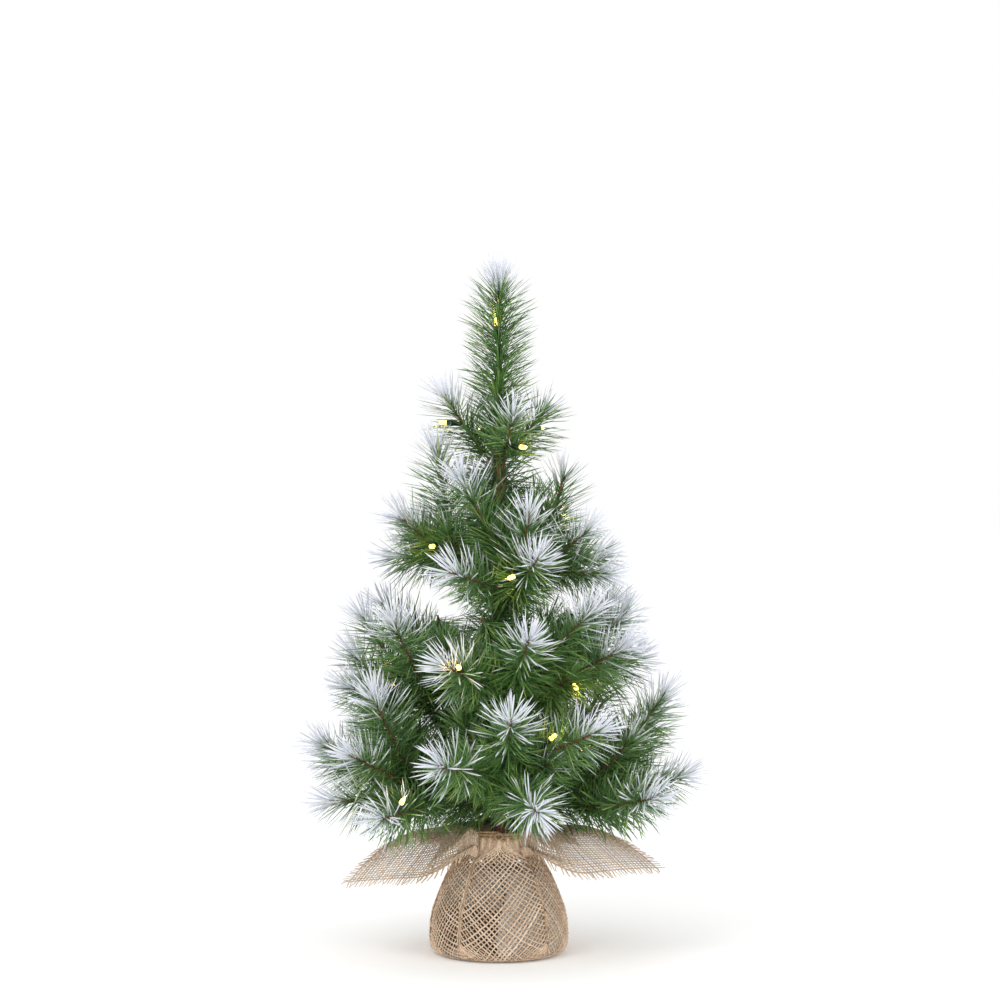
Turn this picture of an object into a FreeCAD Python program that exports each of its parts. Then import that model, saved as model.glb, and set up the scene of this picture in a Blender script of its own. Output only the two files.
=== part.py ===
import FreeCAD, Part
import math
import os

# Artificial tabletop tree in a burlap-wrapped base, with a battery light string.
# Millimetres. +Z is up, the front is -Y, and the origin is the centre of the underside.
# An azimuth is measured in degrees from the front towards +X, a reach from the trunk's axis.

Vector = FreeCAD.Vector
UP = Vector(0, 0, 1)
doc = FreeCAD.newDocument("TabletopTree")

DIMENSIONS = [
    ("tree_height", 600),
    ("weight_radius", 56),
    ("weight_height", 72),
    ("weight_floor", 2.4),
    ("rod_radius", 4),
    ("rod_bottom", 12),
    ("rod_top", 434),
    ("bark_radius", 6.5),
    ("bark_bottom", 74),
    ("root_reach", 8),
    ("wire_radius", 1.2),
    ("needle_core", 8),
    ("needle_root", 3),
    ("needle_tip", 4),
    ("needle_overhang", 8),
    ("leader_bottom", 437),
    ("leader_core", 11),
    ("burlap_radius", 60),
    ("burlap_thickness", 1.8),
    ("neck_radius", 26),
    ("neck_height", 108),
    ("neck_bore", 12),
    ("twine_radius", 1.5),
    ("case_length", 66),
    ("case_depth", 19),
    ("case_tall", 34),
    ("case_face", 37),
    ("case_wall", 1.5),
    ("case_floor", 5),
    ("case_azimuth", -38),
    ("bay_length", 53.7),
    ("lid_thickness", 1.6),
    ("cell_radius", 7.1),
    ("cell_length", 49.2),
    ("lamp_radius", 2.4),
    ("lamp_holder", 13),
    ("lens_radius", 1.8),
    ("lens_length", 5),
    ("lead_radius", 0.75),
]

sheet = doc.addObject("Spreadsheet::Sheet", "Dimensions")
for number, (alias, value) in enumerate(DIMENSIONS, start=1):
    sheet.set(f"A{number}", alias.replace("_", " "))
    sheet.set(f"B{number}", str(value))
    sheet.setAlias(f"B{number}", alias)
doc.recompute()


def size(alias):
    return float(sheet.get(alias))


# Each branch: the height of its root on the trunk, then the ends of its shoots as
# (azimuth, reach, height). The first is the main shoot, the others fork off it.
BRANCHES = {
    "low_front": (129, [(4, 143, 213), (12, 153, 139), (-18, 155, 176), (34, 146, 202), (-25, 72, 203),
                        (22, 108, 172)]),
    "low_left": (120, [(-55, 151, 179), (-40, 152, 129), (-69, 154, 136), (-50, 137, 229), (-80, 70, 186),
                       (-62, 112, 222)]),
    "low_right": (116, [(88, 161, 153), (56, 156, 143), (80, 143, 225), (108, 145, 200), (50, 70, 190),
                        (72, 118, 186)]),
    "low_back_right": (123, [(140, 155, 176), (118, 157, 141), (135, 141, 231), (162, 149, 204), (105, 72, 200),
                             (152, 112, 214)]),
    "low_back": (116, [(-170, 155, 174), (166, 155, 141), (-148, 155, 147), (-172, 141, 229), (165, 68, 186),
                       (-160, 112, 212)]),
    "low_back_left": (125, [(-104, 155, 160), (-82, 155, 182), (-126, 153, 178), (-118, 141, 229),
                            (-130, 68, 192), (-96, 110, 200)]),
    "mid_front": (206, [(12, 118, 275), (-21, 126, 255), (47, 108, 299), (-12, 62, 290), (0, 80, 222)]),
    "mid_left": (197, [(-75, 136, 232), (-50, 116, 289), (-82, 118, 291), (-103, 131, 255), (-48, 62, 268)]),
    "mid_right": (215, [(62, 120, 266), (88, 110, 294), (106, 126, 251), (78, 60, 296), (44, 84, 238)]),
    "mid_back_right": (202, [(140, 124, 272), (118, 114, 300), (162, 122, 255), (177, 112, 292),
                             (132, 58, 284)]),
    "mid_back_left": (210, [(-140, 124, 274), (-116, 116, 298), (-162, 122, 257), (-118, 60, 288),
                            (-120, 82, 240)]),
    "up_front": (300, [(20, 94, 341), (-25, 97, 330), (19, 78, 379), (-30, 67, 410), (8, 42, 362)]),
    "up_left": (317, [(-80, 87, 376), (-75, 56, 436), (-100, 94, 340), (-122, 86, 368), (-52, 56, 362)]),
    "up_right": (308, [(62, 86, 364), (70, 59, 410), (72, 98, 326), (98, 92, 340), (112, 46, 382)]),
    "up_back": (312, [(172, 86, 368), (140, 94, 335), (-150, 94, 335), (-162, 63, 408), (140, 52, 392)]),
    "crown_left": (423, [(-88, 47, 480)]),
    "crown_front": (419, [(16, 46, 460)]),
    "crown_right": (425, [(100, 41, 469)]),
    "crown_back": (415, [(-175, 45, 468)]),
}
FORKS = (0.36, 0.44, 0.52, 0.2, 0.3)

# Each lamp: which shoot of the branch it is clipped to, how far along that shoot,
# and the azimuth and lift in which it points.
LAMPS = {
    "low_front": (3, 0.35, 60, 40),
    "low_left": (1, 0.72, 20, 35),
    "low_right": (0, 0.55, 150, 30),
    "low_back_right": (0, 0.6, 100, 35),
    "low_back": (0, 0.6, 150, 35),
    "low_back_left": (0, 0.62, -60, 35),
    "mid_front": (1, 0.72, -10, 15),
    "mid_left": (0, 0.6, -140, 40),
    "mid_right": (0, 0.5, 30, -30),
    "mid_back_right": (0, 0.6, 100, 30),
    "mid_back_left": (0, 0.62, -100, 30),
    "up_front": (0, 0.72, -50, -15),
    "up_left": (0, 0.55, -20, 0),
    "up_right": (1, 0.5, 140, 20),
    "up_back": (0, 0.6, -140, 30),
    "crown_left": (0, 0.55, -95, 5),
    "crown_front": (0, 0.4, 50, -5),
    "crown_right": (0, 0.6, 150, 0),
    "crown_back": (0, 0.6, -130, 10),
}
LEADER_LAMP = (0.56, -40, 78)

node_objects = []


def node(thing, label):
    """Label an object as a finished sub-part."""
    thing.Label = label
    node_objects.append(thing)
    return thing


def bind(thing, **expressions):
    """Bind properties of an object to cells of the sheet."""
    for name, expression in expressions.items():
        thing.setExpression(name, expression)
    return thing


def cell(expression):
    """An expression whose plain words are cells of the sheet."""
    words = expression.split()
    return " ".join(f"Dimensions.{word}" if word[0].isalpha() else word for word in words)


def place(thing, start, direction):
    """Stand an object made along +Z at a point, pointing in a direction."""
    thing.Placement = FreeCAD.Placement(start, FreeCAD.Rotation(UP, direction))
    return thing


def heading(azimuth, lift=0):
    """The unit vector of an azimuth and a lift above the horizontal."""
    turn, rise = math.radians(azimuth), math.radians(lift)
    return Vector(
        math.sin(turn) * math.cos(rise),
        -math.cos(turn) * math.cos(rise),
        math.sin(rise),
    )


def spot(azimuth, reach, height):
    """A point in the tree's frame from its azimuth, reach and height."""
    return heading(azimuth) * reach + Vector(0, 0, height)


def primitive(kind, name, **expressions):
    """A Part primitive with its sizes bound to the sheet."""
    return bind(doc.addObject(kind, name), **{key: cell(text) for key, text in expressions.items()})


def group(name, members):
    """Separate solids of one sub-part, kept together in one object."""
    thing = doc.addObject("Part::Compound", name)
    thing.Links = members
    return thing


def cut(name, base, tool):
    thing = doc.addObject("Part::Cut", name)
    thing.Base = base
    thing.Tool = tool
    return thing


def body(name):
    return doc.addObject("PartDesign::Body", name)


def outline_sketch(owner, name, plane, points, height=0):
    """A closed outline of straight lines on one of a body's own origin planes."""
    outline = owner.newObject("Sketcher::SketchObject", name)
    planes = {feature.Role: feature for feature in owner.Origin.OriginFeatures}
    outline.AttachmentSupport = [(planes[plane], "")]
    outline.MapMode = "FlatFace"
    outline.AttachmentOffset = FreeCAD.Placement(Vector(0, 0, height), FreeCAD.Rotation())
    for here, there in zip(points, points[1:] + points[:1]):
        outline.addGeometry(Part.LineSegment(Vector(*here, 0), Vector(*there, 0)))
    return outline


def rectangle(left, low, right, high):
    return [(left, low), (right, low), (right, high), (left, high)]


def revolve(name, points):
    """A body turned about Z from an outline of (radius, height) points."""
    owner = body(name)
    turned = owner.newObject("PartDesign::Revolution", name + "_turned")
    outline = outline_sketch(owner, name + "_outline", "XZ_Plane", points)
    turned.Profile = outline
    turned.ReferenceAxis = (outline, ["V_Axis"])
    turned.Angle = 360
    owner.Tip = turned
    return owner


def pad(owner, name, points, bottom, length):
    """A pad of an outline in the XY plane, from bottom upwards; length is an expression."""
    feature = owner.newObject("PartDesign::Pad", name)
    feature.Profile = outline_sketch(owner, name + "_outline", "XY_Plane", points, bottom)
    feature.setExpression("Length", cell(length))
    owner.Tip = feature
    return feature


def pocket(owner, name, points, bottom, length):
    """A pocket of an outline in the XY plane, cut from bottom upwards."""
    feature = owner.newObject("PartDesign::Pocket", name)
    feature.Profile = outline_sketch(owner, name + "_outline", "XY_Plane", points, bottom)
    feature.setExpression("Length", cell(length))
    feature.Reversed = True
    owner.Tip = feature
    return feature


def route_radii(points):
    """The radius of the arc at each inner point of a route."""
    radii = []
    for before, corner, after in zip(points, points[1:], points[2:]):
        arriving, leaving = corner - before, after - corner
        half_turn = arriving.getAngle(leaving) / 2
        radii.append(0.45 * min(arriving.Length, leaving.Length) / math.tan(half_turn))
    return radii


def route_wire(points):
    """Straight runs joined by tangent arcs, as large as the runs allow."""
    edges = []
    start = points[0]
    for number, radius in enumerate(route_radii(points), start=1):
        arriving, leaving = points[number] - points[number - 1], points[number + 1] - points[number]
        trim = 0.45 * min(arriving.Length, leaving.Length)
        arriving.normalize()
        leaving.normalize()
        inward = leaving - arriving
        inward.normalize()
        reach = math.hypot(radius, trim) - radius
        arc_start, arc_end = points[number] - arriving * trim, points[number] + leaving * trim
        edges.append(Part.LineSegment(start, arc_start).toShape())
        edges.append(Part.Arc(arc_start, points[number] + inward * reach, arc_end).toShape())
        start = arc_end
    edges.append(Part.LineSegment(start, points[-1]).toShape())
    return Part.Wire(edges)


def tube(name, points, radius):
    """A round wire along a route; its volume is compared with section times length."""
    path = route_wire(points)
    ring = Part.Wire(Part.makeCircle(radius, points[0], points[1] - points[0]))
    shape = path.makePipeShell([ring], True, False)
    expected = math.pi * radius**2 * path.Length
    if abs(shape.Volume / expected - 1) > 0.01:
        raise ValueError(f"{name}: volume {shape.Volume:.1f}, expected {expected:.1f}")
    thing = doc.addObject("Part::Feature", name)
    thing.Shape = shape
    print(f"{name}: length {path.Length:.0f}, radii {[round(r) for r in route_radii(points)]}")
    return thing


def needle_sleeve(name, start, direction, length, bare):
    """The dense inner part of the needles round a shoot: two cones, bored for the wire."""
    peak = bare + 0.72 * (length - bare)
    opening = primitive("Part::Cone", name + "_opening", Radius1="needle_root", Radius2="needle_core")
    opening.Height = peak - bare
    place(opening, start + direction * bare, direction)
    closing = primitive("Part::Cone", name + "_closing", Radius1="needle_core", Radius2="needle_tip")
    bind(closing, Height=f"{length - peak} + Dimensions.needle_overhang")
    place(closing, start + direction * peak, direction)
    both = doc.addObject("Part::MultiFuse", name + "_solid")
    both.Shapes = [opening, closing]
    bore = primitive("Part::Cylinder", name + "_bore", Radius="wire_radius")
    bore.Height = length - bare
    place(bore, start + direction * bare, direction)
    return cut(name + "_needles", both, bore)


def shoot(name, start, end, free, bare):
    """A twisted wire and its needles. The wire starts a little way off, at free."""
    direction = end - start
    length = direction.Length
    direction.normalize()
    wire = primitive("Part::Cylinder", name + "_wire", Radius="wire_radius")
    wire.Height = length - free
    place(wire, start + direction * free, direction)
    return [wire, needle_sleeve(name, start, direction, length, bare)]


def branch_lines(name):
    """The centre lines of a branch's shoots, main shoot first."""
    root_height, ends = BRANCHES[name]
    root = spot(ends[0][0], size("root_reach"), root_height)
    main_end = spot(*ends[0])
    lines = [(root, main_end)]
    for fork, end in zip(FORKS, ends[1:]):
        lines.append((root + (main_end - root) * fork, spot(*end)))
    return lines


def beside_case(thing):
    """Turn an object of the battery case, made facing the front, to the case's azimuth."""
    turn = FreeCAD.Rotation(UP, size("case_azimuth"))
    thing.Placement = FreeCAD.Placement(Vector(), turn).multiply(thing.Placement)
    return thing


def make_branch(name):
    """A main shoot and the twigs that fork off it."""
    lines = branch_lines(name)
    solids = shoot(f"{name}_shoot", *lines[0], 0, 12)
    for number, line in enumerate(lines[1:], start=1):
        solids += shoot(f"{name}_twig_{number}", *line, 3.6, 19)
    return node(group(name, solids), f"{name}_branch")


def make_lamp(name, lines, which, along, azimuth, lift):
    """A lamp holder with its lens, and the lead that feeds it along the shoots."""
    start, end = lines[which]
    foot = start + (end - start) * along
    aim = heading(azimuth, lift)
    clear = size("wire_radius") + size("lead_radius") + 0.6
    holder = primitive("Part::Cone", name + "_holder", Radius1="lamp_radius * 0.75",
                       Radius2="lamp_radius", Height="lamp_holder")
    place(holder, foot + aim * clear, aim)
    lens_foot = foot + aim * (clear + size("lamp_holder"))
    barrel = primitive("Part::Cylinder", name + "_barrel", Radius="lens_radius", Height="lens_length")
    place(barrel, lens_foot, aim)
    dome = primitive("Part::Sphere", name + "_dome", Radius="lens_radius")
    place(dome, lens_foot + aim * size("lens_length"), aim)
    lens = doc.addObject("Part::MultiFuse", name + "_lens")
    lens.Shapes = [barrel, dome]
    main_start, main_end = lines[0]
    aside = (main_end - main_start).cross(heading(azimuth + 90))
    aside.normalize()
    aside = aside * clear
    outward = main_end - main_start
    outward.normalize()
    route = [main_start + outward * 4 + aside, start + aside * 1.3, foot + aside]
    if which == 0:
        route[1] = start + (end - start) * (along * 0.55) + aside * 1.3
    lead = tube(name + "_lead", route, size("lead_radius"))
    return node(group(name, [holder, lens, lead]), name + "_lamp")


def make_leader():
    """The upright top shoot, on the line of the trunk, with its lamp."""
    base = Vector(0, 0, size("leader_bottom"))
    top = Vector(0, 0, size("tree_height") - size("needle_overhang"))
    length = top.z - base.z
    bare, taper = 12, 30
    wire = primitive("Part::Cylinder", "leader_wire", Radius="wire_radius * 1.5")
    wire.Height = length
    place(wire, base, UP)
    opening = primitive("Part::Cone", "leader_opening", Radius1="needle_root", Radius2="leader_core")
    opening.Height = taper
    place(opening, base + UP * bare, UP)
    middle = primitive("Part::Cylinder", "leader_middle", Radius="leader_core")
    middle.Height = length - bare - 2 * taper
    place(middle, base + UP * (bare + taper), UP)
    closing = primitive("Part::Cone", "leader_closing", Radius1="leader_core", Radius2="needle_tip")
    bind(closing, Height=f"{taper} + Dimensions.needle_overhang")
    place(closing, top - UP * taper, UP)
    sleeve = doc.addObject("Part::MultiFuse", "leader_sleeve")
    sleeve.Shapes = [opening, middle, closing]
    bore = primitive("Part::Cylinder", "leader_bore", Radius="wire_radius * 1.5")
    bore.Height = length
    place(bore, base, UP)
    node(group("leader_parts", [wire, cut("leader_needles", sleeve, bore)]), "leader_branch")
    make_lamp("leader", [(base, top)], 0, *LEADER_LAMP)


def make_trunk():
    """The steel rod cast in the weight, and the brown bark strip wound on it."""
    rod = primitive("Part::Cylinder", "rod", Radius="rod_radius", Height="rod_top - rod_bottom")
    bind(rod, **{"Placement.Base.z": "Dimensions.rod_bottom"})
    node(rod, "trunk_rod")
    bark = primitive("Part::Cylinder", "bark", Radius="bark_radius", Height="rod_top - bark_bottom")
    bore = primitive("Part::Cylinder", "bark_bore", Radius="rod_radius", Height="rod_top - bark_bottom")
    for tube_wall in (bark, bore):
        bind(tube_wall, **{"Placement.Base.z": "Dimensions.bark_bottom"})
    node(cut("bark_tube", bark, bore), "trunk_bark")


def make_weight():
    """The cement weight, bored for the cast-in rod and slotted for the battery case."""
    radius, floor, top = size("weight_radius"), size("weight_floor"), size("weight_height")
    rod, rod_bottom = size("rod_radius"), size("rod_bottom")
    puck = revolve("weight", [
        (0, floor), (radius - 6, floor), (radius, floor + 6), (radius, 20), (radius - 1, 30),
        (radius - 3, 38), (radius - 8.5, 52), (radius - 14, 64), (radius - 20, top), (rod, top),
        (rod, rod_bottom), (0, rod_bottom),
    ])
    finger_room, gap = 9, 0.4
    recess = primitive("Part::Box", "recess", Length=f"case_length + {finger_room + gap}",
                       Width="weight_radius", Height="weight_height")
    back = size("case_face") - size("case_depth") - gap
    corner = Vector(-size("case_length") / 2 - finger_room, -back - size("weight_radius"),
                    size("case_floor") - gap)
    recess.Placement = FreeCAD.Placement(corner, FreeCAD.Rotation())
    node(cut("weight_recessed", puck, beside_case(recess)), "base_weight")


def flap(name, azimuth, droop, outline):
    """A flat corner of cloth leaning out of the neck, from (distance, sideways) points."""
    out, side = heading(azimuth, -droop), heading(azimuth + 90)
    neck = Vector(0, 0, size("neck_height") + 5.5)
    corners = [neck + out * distance + side * sideways for distance, sideways in outline]
    face = Part.Face(Part.makePolygon(corners + corners[:1]))
    thing = doc.addObject("Part::Feature", name)
    thing.Shape = face.extrude(out.cross(side) * size("burlap_thickness") * 1.4)
    return thing


def make_burlap():
    """The square of burlap drawn up round the weight and gathered at the neck."""
    radius, cloth = size("burlap_radius"), size("burlap_thickness")
    neck, top, bore = size("neck_radius"), size("neck_height"), size("neck_bore")
    outside = [
        (0, 0), (radius - 7, 0), (radius - 2, 2), (radius, 7), (radius, 18), (radius - 0.7, 28),
        (radius - 2.5, 38), (radius - 8, 52), (radius - 14, 66), (radius - 20, 77),
        (neck + 8, 90), (neck + 3, 99), (neck, top - 5), (neck + 2, top),
    ]
    inside = [
        (bore, top), (bore, 99), (neck - 3, 97), (neck + 5, 90), (radius - 22, 77),
        (radius - 16, 66), (radius - 10, 52), (radius - cloth - 2.6, 38),
        (radius - cloth - 0.8, 28), (radius - cloth, 18), (radius - cloth, 8),
        (radius - cloth - 1.8, 3.6), (radius - 7.4, cloth), (0, cloth),
    ]
    bag = revolve("bag", outside + inside)
    left = flap("left_flap", -71, 15, [(24, -18), (100, -84), (153, 0), (67, 26), (24, 18)])
    right = flap("right_flap", 74, 16, [(24, -18), (63, -26), (126, 0), (92, 66), (24, 18)])
    back = flap("back_flap", 178, 15, [(24, -18), (80, -58), (140, 0), (80, 58), (24, 18)])
    flaps = [cut(f"{corner.Name}_trimmed", corner, bag) for corner in (left, right, back)]
    node(group("cloth", [bag, *flaps]), "burlap_wrap")
    twine = primitive("Part::Torus", "twine", Radius1="neck_radius + twine_radius + 0.6",
                      Radius2="twine_radius")
    bind(twine, **{"Placement.Base.z": "Dimensions.neck_height - 5"})
    return twine


def make_case():
    """The battery case: a bay for two cells side by side, and a board bay at its end."""
    half, face, wall = size("case_length") / 2, size("case_face"), size("case_wall")
    floor, bay = size("case_floor"), size("bay_length")
    back = face - size("case_depth")
    bay_end = -half + wall + bay
    case = body("case")
    pad(case, "case_block", rectangle(-half, -face, half, -back), floor, "case_tall")
    doc.recompute()
    pocket(case, "cell_bay", rectangle(-half + wall, -face - 1, bay_end, -back - wall),
           floor + wall, "case_tall - 2 * case_wall")
    pocket(case, "board_bay", rectangle(bay_end + wall, -face + wall, half - wall, -back + 1),
           floor + wall, "case_tall - 2 * case_wall")
    pocket(case, "switch_slot", rectangle(half - 7.6, -face - 1, half - 3.4, -face + wall + 1),
           floor + 12.6, "case_tall / 4 + 0.4")
    pocket(case, "wire_hole", rectangle(half - 8, -face + 9, half - 5, -face + 12),
           floor + size("case_tall") - wall - 1, "case_wall + 2")
    node(beside_case(case), "battery_case")


def make_lid():
    """The cell bay's lid, which slides sideways, with ribs for the thumb."""
    half, face, floor = size("case_length") / 2, size("case_face"), size("case_floor")
    inner = face + 0.3
    outer = inner + size("lid_thickness")
    right = -half + size("case_wall") + size("bay_length")
    lid = body("lid")
    pad(lid, "lid_plate", rectangle(-half + 0.5, -outer, right, -inner), floor + 2, "case_tall - 4")
    doc.recompute()
    rib = pad(lid, "lid_rib", rectangle(-14, -outer - 0.8, 2, -outer + 0.2), floor + 8, "case_wall")
    ribs = lid.newObject("PartDesign::LinearPattern", "lid_ribs")
    ribs.Originals = [rib]
    planes = {feature.Role: feature for feature in lid.Origin.OriginFeatures}
    ribs.Direction = (planes["Z_Axis"], [""])
    ribs.Length = 16
    ribs.Occurrences = 5
    lid.Tip = ribs
    node(beside_case(lid), "battery_lid")


def lying(kind, name, start, **sizes):
    """A round primitive of the case, laid along X from its start."""
    return place(primitive(kind, name, **sizes), start, Vector(1, 0, 0))


def make_cells():
    """Two cells, each between a spring at one end and a plate at the other."""
    left = -size("case_length") / 2 + size("case_wall")
    inward = -(size("case_face") - size("case_depth") + size("case_wall") + size("cell_radius") + 0.3)
    floor = size("case_floor") + size("case_wall") + size("cell_radius") + 0.4
    cells, springs, plates = [], [], []
    for number, level in enumerate((floor, floor + 2 * size("cell_radius") + 1.6), start=1):
        end = Vector(left, inward, level)
        seat = end + Vector(2.2, 0, 0)
        nub_start = seat + Vector(size("cell_length"), 0, 0)
        can = lying("Part::Cylinder", f"cell_{number}_can", seat, Radius="cell_radius",
                    Height="cell_length")
        nub = lying("Part::Cylinder", f"cell_{number}_nub", nub_start, Radius="cell_radius * 0.38",
                    Height="1.2")
        cell_solid = doc.addObject("Part::MultiFuse", f"cell_{number}")
        cell_solid.Shapes = [can, nub]
        cells.append(cell_solid)
        coil = lying("Part::Cone", f"spring_{number}_coil", end + Vector(0.45, 0, 0),
                     Radius1="cell_radius * 0.7", Radius2="cell_radius * 0.45", Height="1.7")
        hollow = lying("Part::Cylinder", f"spring_{number}_hollow", end + Vector(0.45, 0, 0),
                       Radius="cell_radius * 0.3", Height="1.7")
        springs.append(cut(f"spring_{number}", coil, hollow))
        for across, name in ((0, "left"), (size("bay_length") - 0.4, "right")):
            plate = primitive("Part::Box", f"plate_{number}_{name}", Length="0.4", Width="10", Height="12")
            plate.Placement.Base = end + Vector(across, -5, -6)
            plates.append(plate)
    for name, members in (("battery_cells", cells), ("contact_springs", springs),
                          ("contact_plates", plates)):
        node(beside_case(group(name, members)), name)


def make_board():
    """The timer board at the case's end, and the slide switch that stands through its face."""
    half, face, wall = size("case_length") / 2, size("case_face"), size("case_wall")
    floor = size("case_floor") + wall
    board = primitive("Part::Box", "board_plate", Length="6.4", Width="1.2",
                      Height="case_tall - 2 * case_wall - 1")
    board.Placement.Base = Vector(half - wall - 7, -face + 7.5, floor + 0.5)
    chip = primitive("Part::Box", "board_chip", Length="4", Width="1.4", Height="5")
    chip.Placement.Base = Vector(half - wall - 6, -face + 6.1, floor + 2)
    mounted = doc.addObject("Part::MultiFuse", "board")
    mounted.Shapes = [board, chip]
    node(beside_case(mounted), "circuit_board")
    knob = primitive("Part::Box", "knob", Length="3.4", Width="6", Height="4")
    knob.Placement.Base = Vector(half - 7.2, -face - 1.4, size("case_floor") + 13)
    node(beside_case(knob), "power_switch")


def beside_case_point(point):
    return FreeCAD.Rotation(UP, size("case_azimuth")).multVec(point)


def make_light_wire():
    """The pair of insulated wires from the case, up beside the trunk, to the leader."""
    top, neck_level = size("case_floor") + size("case_tall"), 100
    start = beside_case_point(Vector(size("case_length") / 2 - 6.5, -size("case_face") + 10.5, top))
    points = [start, start + UP * 24, spot(-20, 22, 84), spot(-30, 9.6, neck_level)]
    turns = (-34, -24, -33, -25, -34, -24, -32, -26)
    step = (size("rod_top") - 4 - neck_level) / len(turns)
    for number, azimuth in enumerate(turns, start=1):
        points.append(spot(azimuth, 8.3, neck_level + number * step))
    node(tube("light_wire", points, size("lead_radius")), "light_wire")


make_weight()
make_trunk()
node(make_burlap(), "burlap_tie")
make_case()
make_lid()
make_cells()
make_board()
make_light_wire()
for branch_name in BRANCHES:
    make_branch(branch_name)
    make_lamp(branch_name, branch_lines(branch_name), *LAMPS[branch_name])
make_leader()
doc.recompute()

for thing in doc.Objects:
    if "Invalid" in thing.State or "Error" in thing.State:
        raise ValueError(f"{thing.Label}: {thing.State}")
for thing in node_objects:
    if thing.Shape.isNull() or not thing.Shape.isValid():
        raise ValueError(f"{thing.Label}: bad shape")

os.makedirs("parts", exist_ok=True)
for thing in node_objects:
    thing.Shape.exportStep(f"parts/{thing.Label}.step")
print(f"{len(node_objects)} sub-parts")
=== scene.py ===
import math

import bpy
import numpy as np
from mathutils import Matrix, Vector


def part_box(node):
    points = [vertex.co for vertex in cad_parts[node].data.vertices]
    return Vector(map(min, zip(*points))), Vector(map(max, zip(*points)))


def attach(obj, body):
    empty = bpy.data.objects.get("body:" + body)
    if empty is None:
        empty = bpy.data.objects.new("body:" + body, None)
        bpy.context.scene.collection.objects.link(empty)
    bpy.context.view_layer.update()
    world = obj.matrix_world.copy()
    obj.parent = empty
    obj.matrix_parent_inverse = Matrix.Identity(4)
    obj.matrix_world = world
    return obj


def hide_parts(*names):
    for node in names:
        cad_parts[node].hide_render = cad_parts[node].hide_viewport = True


# Artificial tabletop tree: wires, needles, lamps and a woven burlap wrap, built round the CAD frame.
# Metres. +Z is up and the front is -Y. An azimuth is measured from the front towards +X.

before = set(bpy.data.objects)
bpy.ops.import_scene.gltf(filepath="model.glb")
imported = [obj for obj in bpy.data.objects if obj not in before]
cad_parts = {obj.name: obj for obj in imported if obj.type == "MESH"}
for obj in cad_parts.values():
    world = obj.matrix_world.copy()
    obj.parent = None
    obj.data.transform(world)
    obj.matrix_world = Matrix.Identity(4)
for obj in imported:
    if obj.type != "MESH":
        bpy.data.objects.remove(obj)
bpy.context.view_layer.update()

MM = 0.001
UPRIGHT = np.array([0, 0, 1.0])


# ---------------------------------------------------------------- camera, lights and floor

def make_camera():
    """A level view from the front, at the height of the tree's middle."""
    data = bpy.data.cameras.new("camera")
    data.lens = 85
    data.sensor_width = 36
    camera = bpy.data.objects.new("camera", data)
    camera.location = (0.001, -2.035, 0.389)
    camera.rotation_euler = (math.radians(90), 0, 0)
    bpy.context.scene.collection.objects.link(camera)
    bpy.context.scene.camera = camera


def area_light(name, place, aim, width, power):
    """A square soft light at a place, turned towards its aim."""
    data = bpy.data.lights.new(name, "AREA")
    data.shape = "SQUARE"
    data.size = width
    data.energy = power
    lamp = bpy.data.objects.new(name, data)
    lamp.location = place
    lamp.rotation_euler = (Vector(aim) - Vector(place)).to_track_quat("-Z", "Y").to_euler()
    bpy.context.scene.collection.objects.link(lamp)


def make_studio():
    """White surroundings, two large soft lights and a pale floor."""
    scene = bpy.context.scene
    scene.view_settings.view_transform = "Standard"
    world = bpy.data.worlds.new("studio")
    scene.world = world
    world.use_nodes = True
    world.node_tree.nodes["Background"].inputs["Color"].default_value = (1, 1, 1, 1)
    world.node_tree.nodes["Background"].inputs["Strength"].default_value = 1.0
    area_light("key_light", (-1.1, -1.5, 1.7), (0, 0, 0.3), 0.9, 16)
    area_light("fill_light", (1.4, -1.3, 0.9), (0, 0, 0.3), 0.9, 7)
    mesh = bpy.data.meshes.new("floor")
    reach = 30
    mesh.from_pydata([(-reach, -reach, 0), (reach, -reach, 0), (reach, reach, 0), (-reach, reach, 0)], [],
                     [(0, 1, 2, 3)])
    floor = bpy.data.objects.new("floor", mesh)
    bpy.context.scene.collection.objects.link(floor)
    material = bpy.data.materials.new("floor_paint")
    material.use_nodes = True
    shader = material.node_tree.nodes["Principled BSDF"]
    shader.inputs["Base Color"].default_value = (0.97, 0.97, 0.97, 1)
    shader.inputs["Roughness"].default_value = 0.9
    shader.inputs["Specular IOR Level"].default_value = 0.1
    shader.inputs["Emission Color"].default_value = (1, 1, 1, 1)
    shader.inputs["Emission Strength"].default_value = 0.05
    mesh.materials.append(material)


# ---------------------------------------------------------------- materials

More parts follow.
